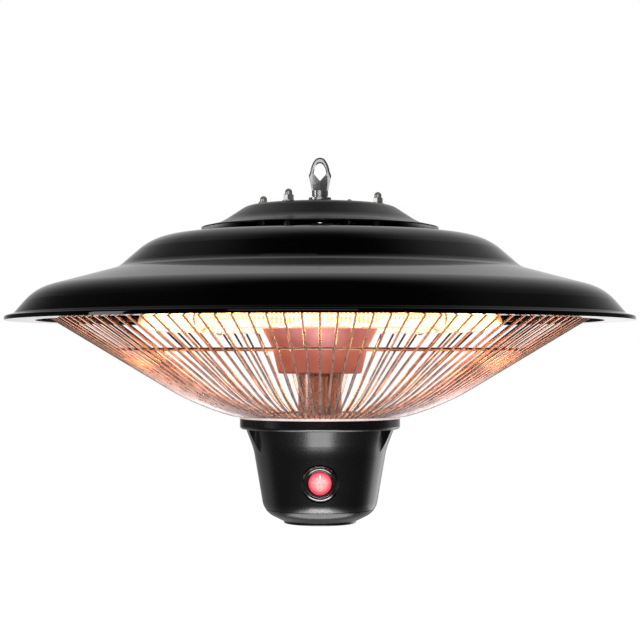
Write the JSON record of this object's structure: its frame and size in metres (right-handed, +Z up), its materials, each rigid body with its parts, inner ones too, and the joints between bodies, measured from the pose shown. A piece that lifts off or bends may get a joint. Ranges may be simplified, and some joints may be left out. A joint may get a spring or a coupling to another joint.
{
  "type": "ceiling infrared heater",
  "caption": "Hanging infrared heater: wide spun shade with raised cover and eye, ring-shaped quartz element behind a wire guard, and a housing with a rocker switch below.",
  "frame": {"origin": "centre of the hole of the hanging eye, on the heater's vertical axis", "axes": "+Z up along the axis of the heater; the switch faces -Y; the eye is pierced along Y"},
  "size_m": [0.425, 0.425, 0.2496],
  "materials": {
    "chrome_fittings": "polished plating",
    "rubber_seals": "matte",
    "zinc_steel": "zinc-plated",
    "black_enamel_cover": "satin black",
    "black_enamel_shade": "gloss black",
    "polished_column": "polished",
    "bright_aluminium": "polished reflector sheet",
    "rivet_aluminium": "plain",
    "quartz": "clear",
    "glowing_coil": "glowing hot",
    "ceramic_white": "unglazed",
    "cutout_black": "moulded",
    "guard_wire": "bright plated",
    "black_housing": "satin black",
    "switch_black": "gloss black",
    "rocker_red": "translucent red, lit from behind",
    "lamp_glass": "glowing neon",
    "brass_blades": "plain",
    "lead_sleeve": "heat-proof sleeve"
  },
  "bodies": {
    "heater": {"hanging_eye": "chrome_fittings", "eye_washer": "chrome_fittings", "acorn_washers": "chrome_fittings", "acorn_nuts": "chrome_fittings", "eye_seal": "rubber_seals", "cable_grommet": "rubber_seals", "eye_nut": "zinc_steel", "hanger_plate": "zinc_steel", "tie_studs": "zinc_steel", "cover_spacers": "zinc_steel", "reflector_spacers": "zinc_steel", "stud_nuts": "zinc_steel", "support_plate": "zinc_steel", "terminal_screws": "zinc_steel", "clamp_brackets": "zinc_steel", "tube_strap": "zinc_steel", "tube_clips": "zinc_steel", "hub_plate": "zinc_steel", "column_nut": "zinc_steel", "housing_screws": "zinc_steel", "clamp_screws": "zinc_steel", "cap_screws": "zinc_steel", "rocker_pin": "zinc_steel", "top_cover": "black_enamel_cover", "shade": "black_enamel_shade", "clamp_ring": "black_enamel_shade", "centre_column": "polished_column", "reflector": "bright_aluminium", "reflector_cup": "bright_aluminium", "cup_rivets": "rivet_aluminium", "strap_rivets": "rivet_aluminium", "quartz_tube": "quartz", "heating_coil": "glowing_coil", "tube_end_caps": "ceramic_white", "terminal_block": "ceramic_white", "thermal_cutout": "cutout_black", "guard_spokes": "guard_wire", "guard_top_ring": "guard_wire", "guard_mid_ring": "guard_wire", "guard_hub_ring": "guard_wire", "lower_housing": "black_housing", "bottom_cap": "black_housing", "hub_flange": "black_housing", "base_disc": "black_housing", "switch_body": "switch_black", "switch_trim_ring": "switch_black", "switch_lamp": "lamp_glass", "switch_blades": "brass_blades", "supply_leads": "lead_sleeve", "heater_leads": "lead_sleeve"},
    "rocker": {"rocker": "rocker_red"}
  },
  "joints": [
    {"name": "rocker_tilt", "type": "hinge", "parent": "heater", "child": "rocker", "pos_m": [0, -0.03974, -0.20985], "axis": [1, 0, 0], "range_deg": [0, 22]}
  ]
}
